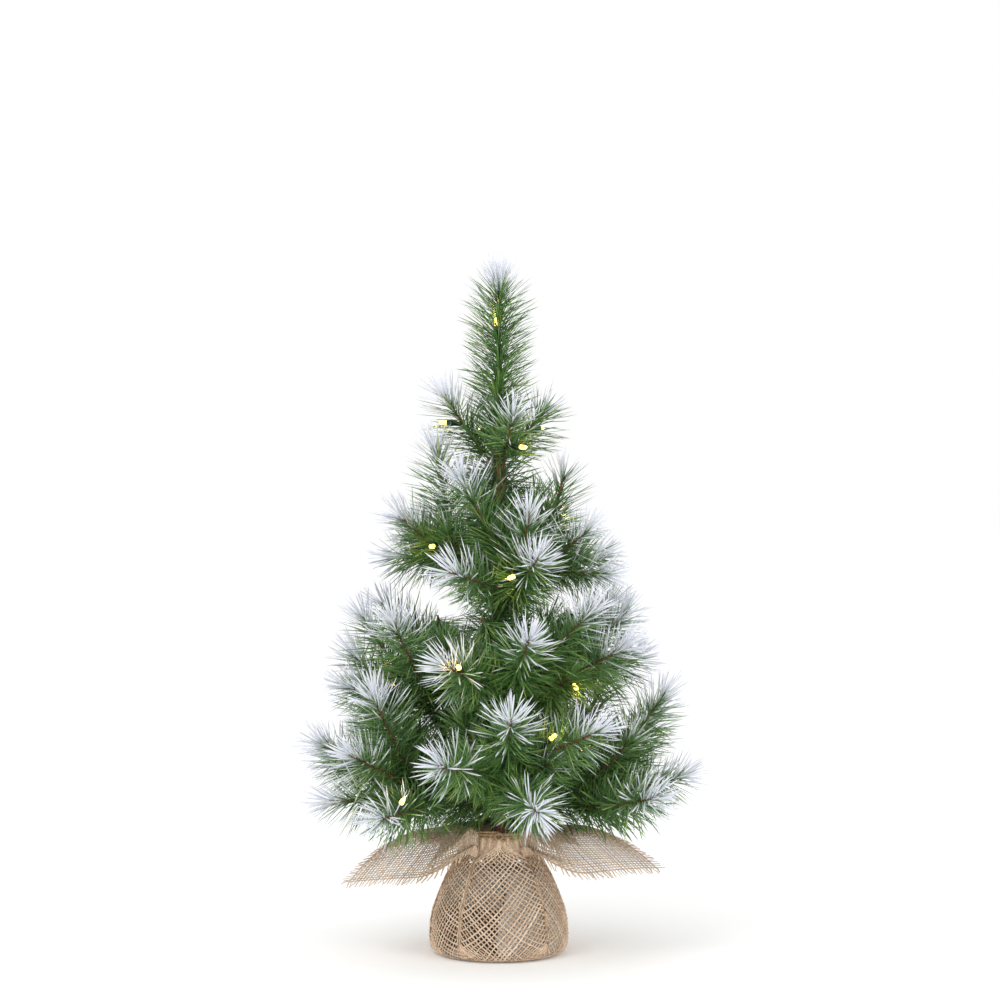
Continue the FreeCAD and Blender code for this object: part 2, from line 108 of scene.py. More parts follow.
class Paint:
    """A material under construction: the node tree and its shader."""

    def __init__(self, name, roughness=0.6, metallic=0.0):
        self.material = bpy.data.materials.new(name)
        self.material.use_nodes = True
        self.tree = self.material.node_tree
        self.shader = self.tree.nodes["Principled BSDF"]
        self.shader.inputs["Roughness"].default_value = roughness
        self.shader.inputs["Metallic"].default_value = metallic

    def node(self, kind, **settings):
        made = self.tree.nodes.new(kind)
        for name, value in settings.items():
            setattr(made, name, value)
        return made

    def join(self, output, socket):
        self.tree.links.new(output, socket)

    def noise(self, scale, detail=4.0, stretch=(1, 1, 1), distortion=0.0):
        """A noise value over the object's own space; scale is in lumps per metre."""
        place = self.node("ShaderNodeTexCoord")
        mapping = self.node("ShaderNodeMapping")
        mapping.inputs["Scale"].default_value = stretch
        cloud = self.node("ShaderNodeTexNoise")
        cloud.inputs["Scale"].default_value = scale
        cloud.inputs["Detail"].default_value = detail
        cloud.inputs["Distortion"].default_value = distortion
        self.join(place.outputs["Object"], mapping.inputs["Vector"])
        self.join(mapping.outputs["Vector"], cloud.inputs["Vector"])
        return cloud.outputs["Fac"]

    def attribute(self, name):
        return self.node("ShaderNodeAttribute", attribute_name=name).outputs["Fac"]

    def ramp(self, value, *stops):
        """Colours at positions along a value."""
        ramp = self.node("ShaderNodeValToRGB")
        while len(ramp.color_ramp.elements) < len(stops):
            ramp.color_ramp.elements.new(0.5)
        for element, (position, colour) in zip(ramp.color_ramp.elements, stops):
            element.position = position
            element.color = (*colour, 1)
        self.join(value, ramp.inputs["Fac"])
        return ramp.outputs["Color"]

    def math(self, operation, first, second):
        made = self.node("ShaderNodeMath", operation=operation, use_clamp=True)
        for socket, value in zip(made.inputs, (first, second)):
            if isinstance(value, (int, float)):
                socket.default_value = value
            else:
                self.join(value, socket)
        return made.outputs[0]

    def mix(self, factor, first, second, blend="MIX"):
        made = self.node("ShaderNodeMix", data_type="RGBA", blend_type=blend)
        for socket, value in zip((made.inputs[0], made.inputs[6], made.inputs[7]), (factor, first, second)):
            if isinstance(value, tuple):
                socket.default_value = (*value, 1)
            elif isinstance(value, (int, float)):
                socket.default_value = value
            else:
                self.join(value, socket)
        return made.outputs[2]

    def range(self, value, low, high):
        """A value from 0 to 1, spread over low to high."""
        made = self.node("ShaderNodeMapRange")
        made.inputs["To Min"].default_value = low
        made.inputs["To Max"].default_value = high
        self.join(value, made.inputs["Value"])
        return made.outputs["Result"]

    def bump(self, height, strength, distance):
        made = self.node("ShaderNodeBump")
        made.inputs["Strength"].default_value = strength
        made.inputs["Distance"].default_value = distance
        self.join(height, made.inputs["Height"])
        self.join(made.outputs["Normal"], self.shader.inputs["Normal"])

    def colour(self, output):
        self.join(output, self.shader.inputs["Base Color"])

    def roughness(self, output):
        self.join(output, self.shader.inputs["Roughness"])


def needle_paint():
    """Cut PVC film in several greens, flocked white where the frost attribute says."""
    paint = Paint("pvc_needles")
    shade = paint.math("ADD", paint.attribute("shade"), paint.range(paint.noise(220, 2), -0.14, 0.14))
    green = paint.ramp(shade, (0.0, (0.022, 0.072, 0.024)), (0.4, (0.070, 0.175, 0.042)),
                       (0.7, (0.150, 0.290, 0.065)), (1.0, (0.34, 0.45, 0.12)))
    flock = paint.noise(1500, 3)
    cover = paint.math("ADD", paint.attribute("frost"), paint.range(flock, -0.22, 0.22))
    mask = paint.ramp(cover, (0.22, (0, 0, 0)), (0.62, (1, 1, 1)))
    white = paint.ramp(paint.noise(130, 3), (0.3, (0.66, 0.70, 0.80)), (0.7, (0.86, 0.86, 0.89)))
    paint.colour(paint.mix(mask, green, white))
    paint.roughness(paint.range(mask, 0.45, 0.95))
    paint.bump(flock, 0.35, 0.4 * MM)
    return paint.material


def stem_paint():
    """Brown film wound with the wire."""
    paint = Paint("brown_stem", 0.6)
    grain = paint.noise(900, 4)
    paint.colour(paint.ramp(grain, (0.25, (0.075, 0.030, 0.012)), (0.55, (0.19, 0.080, 0.035)),
                            (0.85, (0.30, 0.15, 0.07))))
    paint.roughness(paint.range(grain, 0.45, 0.75))
    paint.bump(grain, 0.4, 0.2 * MM)
    return paint.material


def thread_paint(name, dark, light):
    """Spun jute: each thread its own tone, with darker flecks and loose fibres."""
    paint = Paint(name, 0.9)
    fibre = paint.noise(1400, 5, distortion=0.6)
    tone = paint.math("ADD", paint.attribute("tone"), paint.range(fibre, -0.32, 0.32))
    middle = tuple((a + b) / 2 for a, b in zip(dark, light))
    colour = paint.ramp(tone, (0.0, dark), (0.5, middle), (1.0, light))
    fleck = paint.ramp(paint.noise(420, 3), (0.62, (1, 1, 1)), (0.72, (0.62, 0.52, 0.42)))
    paint.colour(paint.mix(1.0, colour, fleck, "MULTIPLY"))
    paint.roughness(paint.range(fibre, 0.8, 1.0))
    paint.bump(fibre, 0.5, 0.2 * MM)
    paint.shader.inputs["Sheen Weight"].default_value = 0.15
    return paint.material


def cement_paint():
    """Pale cast cement with pits and damp patches."""
    paint = Paint("cast_cement", 0.9)
    patch, grit = paint.noise(35, 5), paint.noise(600, 6)
    base = paint.ramp(patch, (0.3, (0.42, 0.41, 0.38)), (0.7, (0.62, 0.61, 0.57)))
    paint.colour(paint.mix(0.35, base, paint.ramp(grit, (0.35, (0.2, 0.2, 0.19)), (0.6, (0.75, 0.74, 0.7)))))
    paint.roughness(paint.range(grit, 0.8, 1.0))
    paint.bump(grit, 0.6, 0.6 * MM)
    return paint.material


def plastic_paint(name, dark, light, roughness=0.45):
    """Moulded plastic: a fine spark-eroded grain and a faint change of tone."""
    paint = Paint(name, roughness)
    grain = paint.noise(2500, 3)
    paint.colour(paint.ramp(paint.noise(90, 3), (0.3, dark), (0.7, light)))
    paint.roughness(paint.range(grain, roughness - 0.12, roughness + 0.15))
    paint.bump(grain, 0.2, 0.06 * MM)
    return paint.material


def metal_paint(name, dark, light, roughness):
    """Drawn metal with lengthwise streaks."""
    paint = Paint(name, roughness, 1.0)
    streak = paint.noise(500, 4, stretch=(1, 1, 0.03))
    paint.colour(paint.ramp(streak, (0.3, dark), (0.7, light)))
    paint.roughness(paint.range(streak, roughness - 0.1, roughness + 0.12))
    paint.bump(streak, 0.15, 0.05 * MM)
    return paint.material


def lens_paint():
    """A clear warm-white lens with the lit chip behind it."""
    paint = Paint("lit_lens", 0.2)
    paint.colour(paint.ramp(paint.noise(700, 2), (0.3, (1.0, 0.62, 0.16)), (0.7, (1.0, 0.82, 0.38))))
    paint.shader.inputs["Emission Color"].default_value = (1.0, 0.60, 0.10, 1)
    paint.shader.inputs["Emission Strength"].default_value = 5.0
    paint.shader.inputs["Coat Weight"].default_value = 0.6
    return paint.material


def make_paints():
    """One material for each of the record's slots."""
    needles = needle_paint()
    return {
        "needles": needles,
        "frosted_needles": needles,
        "stem_wire": stem_paint(),
        "bark": stem_paint(),
        "burlap": thread_paint("jute_thread", (0.50, 0.33, 0.21), (0.92, 0.73, 0.54)),
        "twine": thread_paint("jute_twine", (0.26, 0.15, 0.075), (0.52, 0.35, 0.20)),
        "cement": cement_paint(),
        "steel": metal_paint("drawn_steel", (0.36, 0.36, 0.37), (0.6, 0.6, 0.61), 0.4),
        "contact": metal_paint("nickel_plate", (0.62, 0.60, 0.56), (0.8, 0.78, 0.74), 0.25),
        "case": plastic_paint("brown_case", (0.075, 0.052, 0.036), (0.12, 0.085, 0.06)),
        "lamp": plastic_paint("lamp_green", (0.006, 0.022, 0.012), (0.014, 0.045, 0.022)),
        "lead": plastic_paint("lead_green", (0.008, 0.030, 0.014), (0.02, 0.06, 0.028), 0.5),
        "cell": plastic_paint("cell_sleeve", (0.03, 0.13, 0.10), (0.05, 0.20, 0.15), 0.3),
        "board": plastic_paint("solder_mask", (0.008, 0.10, 0.04), (0.016, 0.16, 0.06), 0.3),
        "switch": plastic_paint("switch_knob", (0.5, 0.5, 0.48), (0.68, 0.68, 0.66)),
        "lens": lens_paint(),
    }


# ---------------------------------------------------------------- mesh helpers

def piece(name, points, faces, body, slot, replaced=(), smooth=True, **values):
    """A mesh piece that rides on a body, stands for CAD nodes and takes a slot's paint.
    values are attributes of its points."""
    mesh = bpy.data.meshes.new(name)
    mesh.from_pydata(np.asarray(points).tolist(), [], faces)
    mesh.polygons.foreach_set("use_smooth", [smooth] * len(mesh.polygons))
    for attribute, numbers in values.items():
        layer = mesh.attributes.new(attribute, "FLOAT", "POINT")
        layer.data.foreach_set("value", np.asarray(numbers, np.float32))
    mesh.materials.append(paints[slot])
    made = bpy.data.objects.new(name, mesh)
    bpy.context.scene.collection.objects.link(made)
    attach(made, body)
    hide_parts(*replaced)
    return made


def tube_faces(rings, sides, start=0, closed=False):
    """The faces of a tube of rings, with its ends capped unless it closes on itself."""
    faces = []
    for ring in range(rings if closed else rings - 1):
        here, there = start + ring * sides, start + (ring + 1) % rings * sides
        for side in range(sides):
            after = (side + 1) % sides
            faces.append((here + side, here + after, there + after, there + side))
    if not closed:
        faces.append(tuple(start + side for side in reversed(range(sides))))
        faces.append(tuple(start + (rings - 1) * sides + side for side in range(sides)))
    return faces


def shifted(faces, start):
    """The same faces, for points that come after start others."""
    return [tuple(index + start for index in face) for face in faces]


def unit(vectors):
    """The vectors made 1 long."""
    return vectors / np.maximum(np.linalg.norm(vectors, axis=-1, keepdims=True), 1e-12)


def across(tangents, reference):
    """Two unit vectors square to each tangent, the first nearest the reference."""
    first = unit(reference - tangents * np.sum(tangents * reference, axis=-1, keepdims=True))
    return first, np.cross(tangents, first)


def sweep(path, width, height, reference, sides=5, closed=False):
    """The points of a tube of elliptic section along a path."""
    if closed:
        tangents = unit(np.roll(path, -1, 0) - np.roll(path, 1, 0))
    else:
        tangents = unit(np.gradient(path, axis=0))
    first, second = across(tangents, reference)
    turns = np.arange(sides) * 2 * math.pi / sides
    ring = (first[:, None] * np.cos(turns)[None, :, None] * np.reshape(height, (-1, 1, 1))
            + second[:, None] * np.sin(turns)[None, :, None] * np.reshape(width, (-1, 1, 1)))
    return (path[:, None] + ring).reshape(-1, 3)


def strands(path, count, radius, spread, pitch, reference, sides=5):
    """Several strands twisted about a path: their points and faces."""
    lengths = np.concatenate([[0], np.cumsum(np.linalg.norm(np.diff(path, axis=0), axis=1))])
    first, second = across(unit(np.gradient(path, axis=0)), reference)
    points, faces = [], []
    for strand in range(count):
        turn = lengths / pitch * 2 * math.pi + strand * 2 * math.pi / count
        line = path + spread * (first * np.cos(turn)[:, None] + second * np.sin(turn)[:, None])
        points.append(sweep(line, radius, radius, reference, sides))
        faces += tube_faces(len(path), sides, strand * len(path) * sides)
    return np.concatenate(points), faces


def turned(foot, aim, outline, sides=20):
    """A piece turned about an axis, from (height, radius) points, closed at both ends."""
    axis = np.array(aim)
    first, second = across(axis[None], np.array([0.3, 0.5, 0.81]))
    turns = np.arange(sides) * 2 * math.pi / sides
    around = np.cos(turns)[:, None] * first + np.sin(turns)[:, None] * second
    rings = [np.array(foot) + axis * height + around * radius for height, radius in outline]
    return np.concatenate(rings), tube_faces(len(outline), sides)


# ---------------------------------------------------------------- what the CAD nodes say

WIRE_REACH = 2.0 * MM
SHORTEST_WIRE = 12 * MM
HOLDER_LENGTH = 13 * MM
BARREL_RADIUS = 1.8 * MM
BARREL_LENGTH = 5 * MM


def patches(node):
    """The points of each smooth patch of a CAD node's surface."""
    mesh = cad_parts[node].data
    points = np.array([vertex.co for vertex in mesh.vertices])
    owner = list(range(len(points)))

    def root(index):
        while owner[index] != index:
            owner[index] = owner[owner[index]]
            index = owner[index]
        return index

    for first, second in mesh.edge_keys:
        owner[root(first)] = root(second)
    groups = {}
    for index in range(len(points)):
        groups.setdefault(root(index), []).append(index)
    return [points[members] for members in groups.values()]


def rod_line(points):
    """The ends of a patch's long axis, and how far its points lie from it."""
    centre = points.mean(0)
    axis = np.linalg.svd(points - centre)[2][0]
    along = (points - centre) @ axis
    middle = (along.max() + along.min()) / 2
    low, high = points[along < middle].mean(0), points[along >= middle].mean(0)
    if low[0] ** 2 + low[1] ** 2 > high[0] ** 2 + high[1] ** 2:
        low, high = high, low
    reach = np.linalg.norm(points - centre - np.outer(along, axis), axis=1).max()
    return low, high, reach


def wire_lines(node):
    """The centre lines of a branch's wires, the main one first."""
    lines = {}
    for points in patches(node):
        start, end, reach = rod_line(points)
        length = np.linalg.norm(end - start)
        if reach > WIRE_REACH or length < SHORTEST_WIRE:
            continue
        key = tuple(np.round(end, 3))
        if key not in lines or length > np.linalg.norm(lines[key][1] - lines[key][0]):
            lines[key] = (start, end)
    return sorted(lines.values(), key=lambda line: np.hypot(*line[0][:2]))


def lens_axis(node):
    """The foot of a lamp's lens and the way it points: its barrel, seen from its holder."""
    parts = patches(node)
    holder = max((p for p in parts if abs(np.ptp(p @ fit_axis(p)) - HOLDER_LENGTH) < 1 * MM), key=len)
    for points in parts:
        start, end, reach = rod_line(points)
        length = np.linalg.norm(end - start)
        if abs(reach - BARREL_RADIUS) < 0.2 * MM and abs(length - BARREL_LENGTH) < 0.5 * MM:
            middle = holder.mean(0)
            if np.linalg.norm(start - middle) > np.linalg.norm(end - middle):
                start, end = end, start
            return start, unit(end - start)
    raise ValueError(node)


def fit_axis(points):
    """The direction in which the points are spread farthest."""
    return np.linalg.svd(points - points.mean(0))[2][0]


# ---------------------------------------------------------------- branches

BRANCHES = [name.removesuffix("_branch") for name in sorted(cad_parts) if name.endswith("_branch")]
BOW = 0.09  # a wire's middle sags by a quarter of this share of its length
TWIG_GAP = 3.6 * MM  # between a CAD twig's start and the wire it forks from
LEADER_WIRE_TOP = 0.581
# The tree's outline, as (height, reach from the trunk).
OUTLINE = [(0.13, 0.165), (0.23, 0.150), (0.30, 0.120), (0.34, 0.098), (0.41, 0.072), (0.48, 0.050),
           (0.60, 0.01)]
LEAST_EXPOSED, EXPOSED_SPAN = 0.6, 0.28  # shares of the outline's reach
LEADER_TIP_HEIGHT = 0.55

NEEDLE_RINGS = [(0.0, 1.0), (0.4, 1.0), (0.8, 0.85)]  # share of the length, share of the width
NEEDLE_POINTS = 3 * len(NEEDLE_RINGS) + 1
NEEDLE_ALONG = np.array([along for along, _ in NEEDLE_RINGS for _ in range(3)] + [1.0])
NEEDLE_TURN = 2.4  # radians from one needle to the next round the wire
TIP_TAPER = 24 * MM  # over this much of the tip the needles shorten and close up
# How shoots grow: the zone of frosted needles at the tip, how far back the frost reaches, and the
# needles of each kind to a millimetre.
BRANCH_HABIT = {"tip_zone": 48 * MM, "frost_span": 40 * MM, "needles": 4.2, "frosted_needles": 2.9}
LEADER_HABIT = {"tip_zone": 36 * MM, "frost_span": 32 * MM, "needles": 6.0, "frosted_needles": 4.6}


def bowed(start, end, lift, steps):
    """Points from start to end of a wire that sags and turns up towards its tip.
    lift is how far its start is carried with the wire that it leaves."""
    along = np.linspace(0, 1, steps)[:, None]
    length = np.linalg.norm(end - start)
    rise = lift * (1 - along) + BOW * length * (along ** 2 - along)
    return start + (end - start) * along + UPRIGHT * rise


def branch_paths(name):
    """The bowed centre line of every wire of a branch."""
    lines = wire_lines(name + "_branch")
    if name == "leader":
        start = min(lines[0], key=lambda end: end[2])
        return [start + (UPRIGHT * LEADER_WIRE_TOP - start) * np.linspace(0, 1, 60)[:, None]]
    start, end = lines[0]
    length = np.linalg.norm(end - start)
    along_main = (end - start) / length
    paths = [bowed(start, end, 0, 60)]
    for twig_start, twig_end in lines[1:]:
        fork = twig_start - unit(twig_end - twig_start) * TWIG_GAP
        share = np.clip((fork - start) @ along_main / length, 0, 1)
        lift = BOW * length * (share ** 2 - share)
        paths.append(bowed(fork, twig_end, lift, 50))
    return paths


def side_of(path):
    """A direction square to a path, level unless the path is upright."""
    run = path[-1] - path[0]
    level = np.cross(run, (0, 0, 1))
    if np.linalg.norm(level) < 0.2 * np.linalg.norm(run):
        level = np.array([1.0, 0, 0])
    return unit(level)


def resample(path, step):
    """The same path with points a step apart."""
    lengths = np.concatenate([[0], np.cumsum(np.linalg.norm(np.diff(path, axis=0), axis=1))])
    count = max(3, int(lengths[-1] / step) + 1)
    wanted = np.linspace(0, lengths[-1], count)
    return np.stack([np.interp(wanted, lengths, path[:, axis]) for axis in range(3)], axis=1)


def make_wires(name, paths):
    """Two strands twisted together along every wire."""
    step, radius, spread, pitch = 1.3 * MM, 0.72 * MM, 0.62 * MM, 6.5 * MM
    points, faces = [], []
    for path in paths:
        fine = resample(path, step)
        strand_points, strand_faces = strands(fine, 2, radius, spread, pitch, side_of(path))
        faces += shifted(strand_faces, sum(map(len, points)))
        points.append(strand_points)
    piece(name + "_wire", np.concatenate(points), faces, name, "stem_wire", [name + "_branch"])


def needle_mesh(base, direction, side, length, width, thickness, bend):
    """Flat tapering needles: three rings and a tip each, bent a little to one side."""
    count = len(base)
    lift = np.cross(direction, side)
    section = np.array([(-0.5, 0.0), (0.5, 0.0), (0.0, 1.0)])
    points = np.zeros((count, NEEDLE_POINTS, 3))
    for ring, (along, share) in enumerate(NEEDLE_RINGS):
        centre = base + direction * (length * along)[:, None] + bend * (along ** 2)
        for corner, (across_share, up_share) in enumerate(section):
            points[:, ring * 3 + corner] = (centre + side * (width * across_share * share)[:, None]
                                            + lift * (thickness * up_share * share)[:, None])
    tip = NEEDLE_POINTS - 1
    points[:, tip] = base + direction * length[:, None] + bend
    template = [(0, 2, 1)]
    for ring in (0, 3):
        for corner in range(3):
            after = (corner + 1) % 3
            template.append((ring + corner, ring + after, ring + 3 + after, ring + 3 + corner))
    for corner in range(3):
        template.append((6 + corner, 6 + (corner + 1) % 3, tip))
    faces = [face for needle in range(count) for face in shifted(template, NEEDLE_POINTS * needle)]
    return points.reshape(-1, 3), faces


def edges_of(direction, outward, random):
    """The direction of each needle's width: square to the needle, with some scatter round it."""
    side = unit(np.cross(direction, outward) + random.normal(0, 0.25, (len(direction), 3)))
    return unit(side - direction * np.sum(side * direction, axis=1, keepdims=True))


def exposure(path):
    """How far out in the tree a shoot's tip is: 1 at the outside, where the frost lies, 0 well inside."""
    heights, reaches = zip(*OUTLINE)
    x, y, height = path[-1]
    share = np.hypot(x, y) / np.interp(height, heights, reaches)
    if height > LEADER_TIP_HEIGHT:
        return 1.0
    return float(np.clip((share - LEAST_EXPOSED) / EXPOSED_SPAN, 0, 1))


def needle_set(random, path, slot, habit):
    """Where the needles of one shoot grow, which way they point and how frosted they are.
    The frosted ones are those of the tip's zone, and the others grow between it and the root."""
    step = 1.0 * MM
    fine = resample(path, step)
    length = step * (len(fine) - 1)
    tangents = unit(np.gradient(fine, axis=0))
    first, second = across(tangents, side_of(path))
    zone_start = length - min(habit["tip_zone"], 0.5 * length)
    low, high = (zone_start, length) if slot == "frosted_needles" else (4 * MM, zone_start)
    count = int(habit[slot] * (high - low) / MM)
    at = np.sort(random.uniform(low, high, count))
    index = np.clip((at / length * (len(fine) - 1)).astype(int), 0, len(fine) - 1)
    from_tip = length - at
    turn = np.arange(count) * NEEDLE_TURN + random.normal(0, 0.35, count)
    radial = first[index] * np.cos(turn)[:, None] + second[index] * np.sin(turn)[:, None]
    openness = np.clip(from_tip / TIP_TAPER, 0, 1)
    lean = np.radians(np.interp(openness, [0, 1], [24, 60]) + random.normal(0, 8, count))
    direction = unit(tangents[index] * np.cos(lean)[:, None] + radial * np.sin(lean)[:, None])
    long = np.interp(openness, [0, 1], [25, 36]) * MM * random.uniform(0.78, 1.12, count)
    long = long * np.clip(at / (12 * MM), 0.8, 1)
    side = edges_of(direction, radial, random)
    bend = (tangents[index] * random.normal(0.4, 1.2, count)[:, None]
            + side * random.normal(0, 1.3, count)[:, None]) * MM
    frost = 0.86 - from_tip / habit["frost_span"] + 0.12 * radial[:, 2] + random.normal(0, 0.20, count)
    frost = frost - (1 - exposure(path))
    return {"base": fine[index] + radial * 0.9 * MM, "direction": direction, "side": side, "length": long,
            "bend": bend, "frost": frost}


def make_needles(name, paths, random, slot):
    """The needles of one kind on every shoot of a branch, in one piece."""
    habit = LEADER_HABIT if name == "leader" else BRANCH_HABIT
    sets = [needle_set(random, path, slot, habit) for path in paths]
    grown = {key: np.concatenate([one[key] for one in sets]) for key in sets[0]}
    count = len(grown["base"])
    frosted = np.clip(grown["frost"], 0, 1)
    width = (1.05 + 0.25 * frosted) * MM * random.uniform(0.85, 1.15, count)
    thickness = (0.30 + 0.30 * frosted) * MM
    points, faces = needle_mesh(grown["base"], grown["direction"], grown["side"], grown["length"], width,
                                thickness, grown["bend"])
    dusted = (grown["frost"] > -0.3)[:, None]
    frost = grown["frost"][:, None] + 0.75 * (NEEDLE_ALONG - 0.45)[None] * dusted
    shade = np.clip(random.normal(0.40, 0.20, count), 0, 1)[:, None] + 0.15 * NEEDLE_ALONG[None]
    piece(f"{name}_{slot}", points, faces, name, slot, [name + "_branch"], smooth=False,
          frost=frost.ravel(), shade=shade.ravel())


# The outlines of a lamp's holder and lens, as (height, radius) in millimetres.
HOLDER = [(0, 0.9), (0.3, 1.5), (1.2, 1.9), (3.0, 2.0), (3.2, 1.7), (3.8, 1.7), (4.0, 2.1), (8.6, 2.35),
          (8.8, 2.75), (9.8, 2.75), (10.0, 2.4), (13.0, 2.45), (13.1, 2.0)]
LENS_RADIUS, DOME_FOOT, DOME_HEIGHT = 1.85, 4.6, 2.1
LENS = [(-0.6, LENS_RADIUS), (0.2, 2.05), (0.9, 2.05), (1.0, LENS_RADIUS), (DOME_FOOT, LENS_RADIUS)]
LENS += [(DOME_FOOT + DOME_HEIGHT * math.sin(math.radians(turn)), LENS_RADIUS * math.cos(math.radians(turn)))
         for turn in range(15, 90, 15)]
LEAD_ASIDE = 1.9 * MM  # from the wire's centre line


def make_lamp(name, paths):
    """A lamp: its holder with a collar, the lit lens, and the twisted leads back to the trunk."""
    node = name + "_lamp"
    lens_foot, aim = lens_axis(node)
    foot = lens_foot - aim * HOLDER_LENGTH
    points, faces = turned(foot, aim, [(height * MM, radius * MM) for height, radius in HOLDER])
    piece(name + "_lamp_holder", points, faces, name, "lamp", [node])
    points, faces = turned(lens_foot, aim, [(height * MM, radius * MM) for height, radius in LENS])
    bulb = piece(name + "_lamp_lens", points, faces, name, "lens", [node])
    make_glow(bulb, lens_foot + aim * 9 * MM)
    path = min(paths, key=lambda p: np.linalg.norm(p - foot, axis=1).min())
    nearest = int(np.linalg.norm(path - foot, axis=1).argmin())
    aside = side_of(path) * LEAD_ASIDE
    route = [*(path[:nearest + 1:4] + aside), foot - aim * 1.5 * MM + aside * 0.4, foot + aim * 0.5 * MM]
    if path is not paths[0]:
        main = paths[0]
        fork = int(np.linalg.norm(main - path[0], axis=1).argmin())
        route = [*(main[:fork:4] + side_of(main) * LEAD_ASIDE), *route]
    smooth = resample(smoothed(np.array(route)), 1.2 * MM)
    radius, spread, pitch = 0.5 * MM, 0.5 * MM, 5.5 * MM
    points, faces = strands(smooth, 2, radius, spread, pitch, side_of(path))
    piece(name + "_lamp_lead", points, faces, name, "lead", [node])


def smoothed(points, rounds=3):
    """A path with its corners cut, its ends kept."""
    for _ in range(rounds):
        middle = (points[:-1] + points[1:]) / 2
        points = np.concatenate([points[:1], middle, points[-1:]])
    return points


def make_glow(bulb, place):
    """The warm light that a lens throws on the needles near it; it moves with the lens."""
    data = bpy.data.lights.new(bulb.name + "_glow", "POINT")
    data.energy = 0.006
    data.shadow_soft_size = 1.5 * MM
    data.color = (1.0, 0.62, 0.18)
    glow = bpy.data.objects.new(bulb.name + "_glow", data)
    glow.location = place.tolist()
    bpy.context.scene.collection.objects.link(glow)
    bpy.context.view_layer.update()
    glow.parent = bulb
    glow.matrix_parent_inverse = bulb.matrix_world.inverted()


def make_branches():
    """Every branch and the leader: wires, both kinds of needles and the lamp."""
    for number, name in enumerate(BRANCHES):
        random = np.random.default_rng(100 + number)
        paths = branch_paths(name)
        make_wires(name, paths)
        make_needles(name, paths, random, "needles")
        make_needles(name, paths, random, "frosted_needles")
        make_lamp(name, paths)


# ---------------------------------------------------------------- trunk and tie

def make_bark():
    """A brown strip wound up the trunk, each turn lapping the one below."""
    low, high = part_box("trunk_bark")
    pitch, step, inner, sides = 9 * MM, 0.9 * MM, 4.3 * MM, 36
    lap_height, clearance, wrinkle_height = 0.8 * MM, 0.2 * MM, 0.12 * MM
    levels = np.arange(low.z, high.z, step)
    turns = np.arange(sides) * 2 * math.pi / sides
    rings = []
    for level in levels:
        lap = (level / pitch - turns / (2 * math.pi)) % 1.0
        wrinkle = wrinkle_height * np.sin(turns * 5 + level * 900)
        radius = high.x - clearance - lap_height * lap + wrinkle
        rings.append(np.stack([radius * np.cos(turns), radius * np.sin(turns), np.full(sides, level)], 1))
    for level in (levels[-1], levels[0]):
        rings.append(np.stack([inner * np.cos(turns), inner * np.sin(turns), np.full(sides, level)], 1))
    faces = tube_faces(len(rings), sides, closed=True)
    piece("trunk_strip", np.concatenate(rings), faces, "tree", "bark", ["trunk_bark"])


def make_trunk_needles():
    """Loose needles caught under the trunk's strip, which fill the gaps between the tiers."""
    random = np.random.default_rng(31)
    count, low, high = 2100, 0.150, 0.418
    root_radius, width, thickness = 5.6 * MM, 1.1 * MM, 0.3 * MM
    height = random.uniform(low, high, count)
    turn = random.uniform(0, 2 * math.pi, count)
    lift = np.radians(random.uniform(-45, 50, count))
    around = np.stack([np.cos(turn), np.sin(turn), np.zeros(count)], 1)
    direction = around * np.cos(lift)[:, None] + UPRIGHT * np.sin(lift)[:, None]
    side = edges_of(direction, around + UPRIGHT * 0.3, random)
    bend = side * (random.normal(0, 1.5, count) * MM)[:, None]
    base = around * root_radius + UPRIGHT * height[:, None]
    length = random.uniform(24, 42, count) * MM
    points, faces = needle_mesh(base, direction, side, length, np.full(count, width),
                                np.full(count, thickness), bend)
    shade = np.repeat(np.clip(random.normal(0.34, 0.18, count), 0, 1), NEEDLE_POINTS)
    piece("trunk_needles", points, faces, "tree", "needles", smooth=False,
          frost=np.full(len(points), -1.0), shade=shade)


def make_twine():
    """Three turns of two-strand twine round the neck, knotted in front."""
    low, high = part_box("burlap_tie")
    middle = (low.z + high.z) / 2
    radius = high.x - 1.4 * MM
    turns, climb, strand_pitch = 3, 2.3 * MM, 4.5 * MM
    turn = np.linspace(0, turns * 2 * math.pi, 330)
    height = middle + (turn / (2 * math.pi) - turns / 2) * climb
    path = np.stack([radius * np.sin(turn), -radius * np.cos(turn), height], axis=1)
    points, faces = strands(path, 2, 0.62 * MM, 0.55 * MM, strand_pitch, UPRIGHT)
    knot_centre = np.array([0, -radius - 1.6 * MM, middle])
    spin = np.linspace(0, 2 * math.pi * 2, 70)
    knot = knot_centre + np.stack([3.2 * MM * np.sin(spin), 1.3 * MM * np.cos(spin * 1.5),
                                   2.4 * MM * np.cos(spin)], axis=1)
    more_points, more_faces = strands(knot, 2, 0.55 * MM, 0.5 * MM, strand_pitch, np.array([0, 1.0, 0]))
    faces += shifted(more_faces, len(points))
    points = np.concatenate([points, more_points])
    piece("twine_tie", points, faces, "tree", "twine", ["burlap_tie"], tone=np.full(len(points), 0.5))


# ---------------------------------------------------------------- burlap

PITCH = 3.4 * MM  # from thread to thread
HALF = 210 * MM  # half the side of the square
SELVAGE = 7 * MM  # the frayed edge, where only one set of threads is left
# The cloth's line from under the weight up to the tie, as (radius, height) in millimetres.
PROFILE = [(0, 1.3), (52, 1.3), (57, 3.2), (59.2, 8), (59.4, 18), (58.7, 28), (56.8, 38), (51.6, 52),
           (45.6, 66), (39.6, 77), (33.6, 89), (28.4, 98), (25.2, 104)]
FOLDS = (-98, -50, 58, 100, 140, 180, 222, 262)  # where the cloth is folded in, in degrees round the square
FOLD_GAP = 0.05  # the share of a panel that its folded edges take
PLEATS = 17  # small waves round the neck
PLEAT_DEPTH = 1.6 * MM
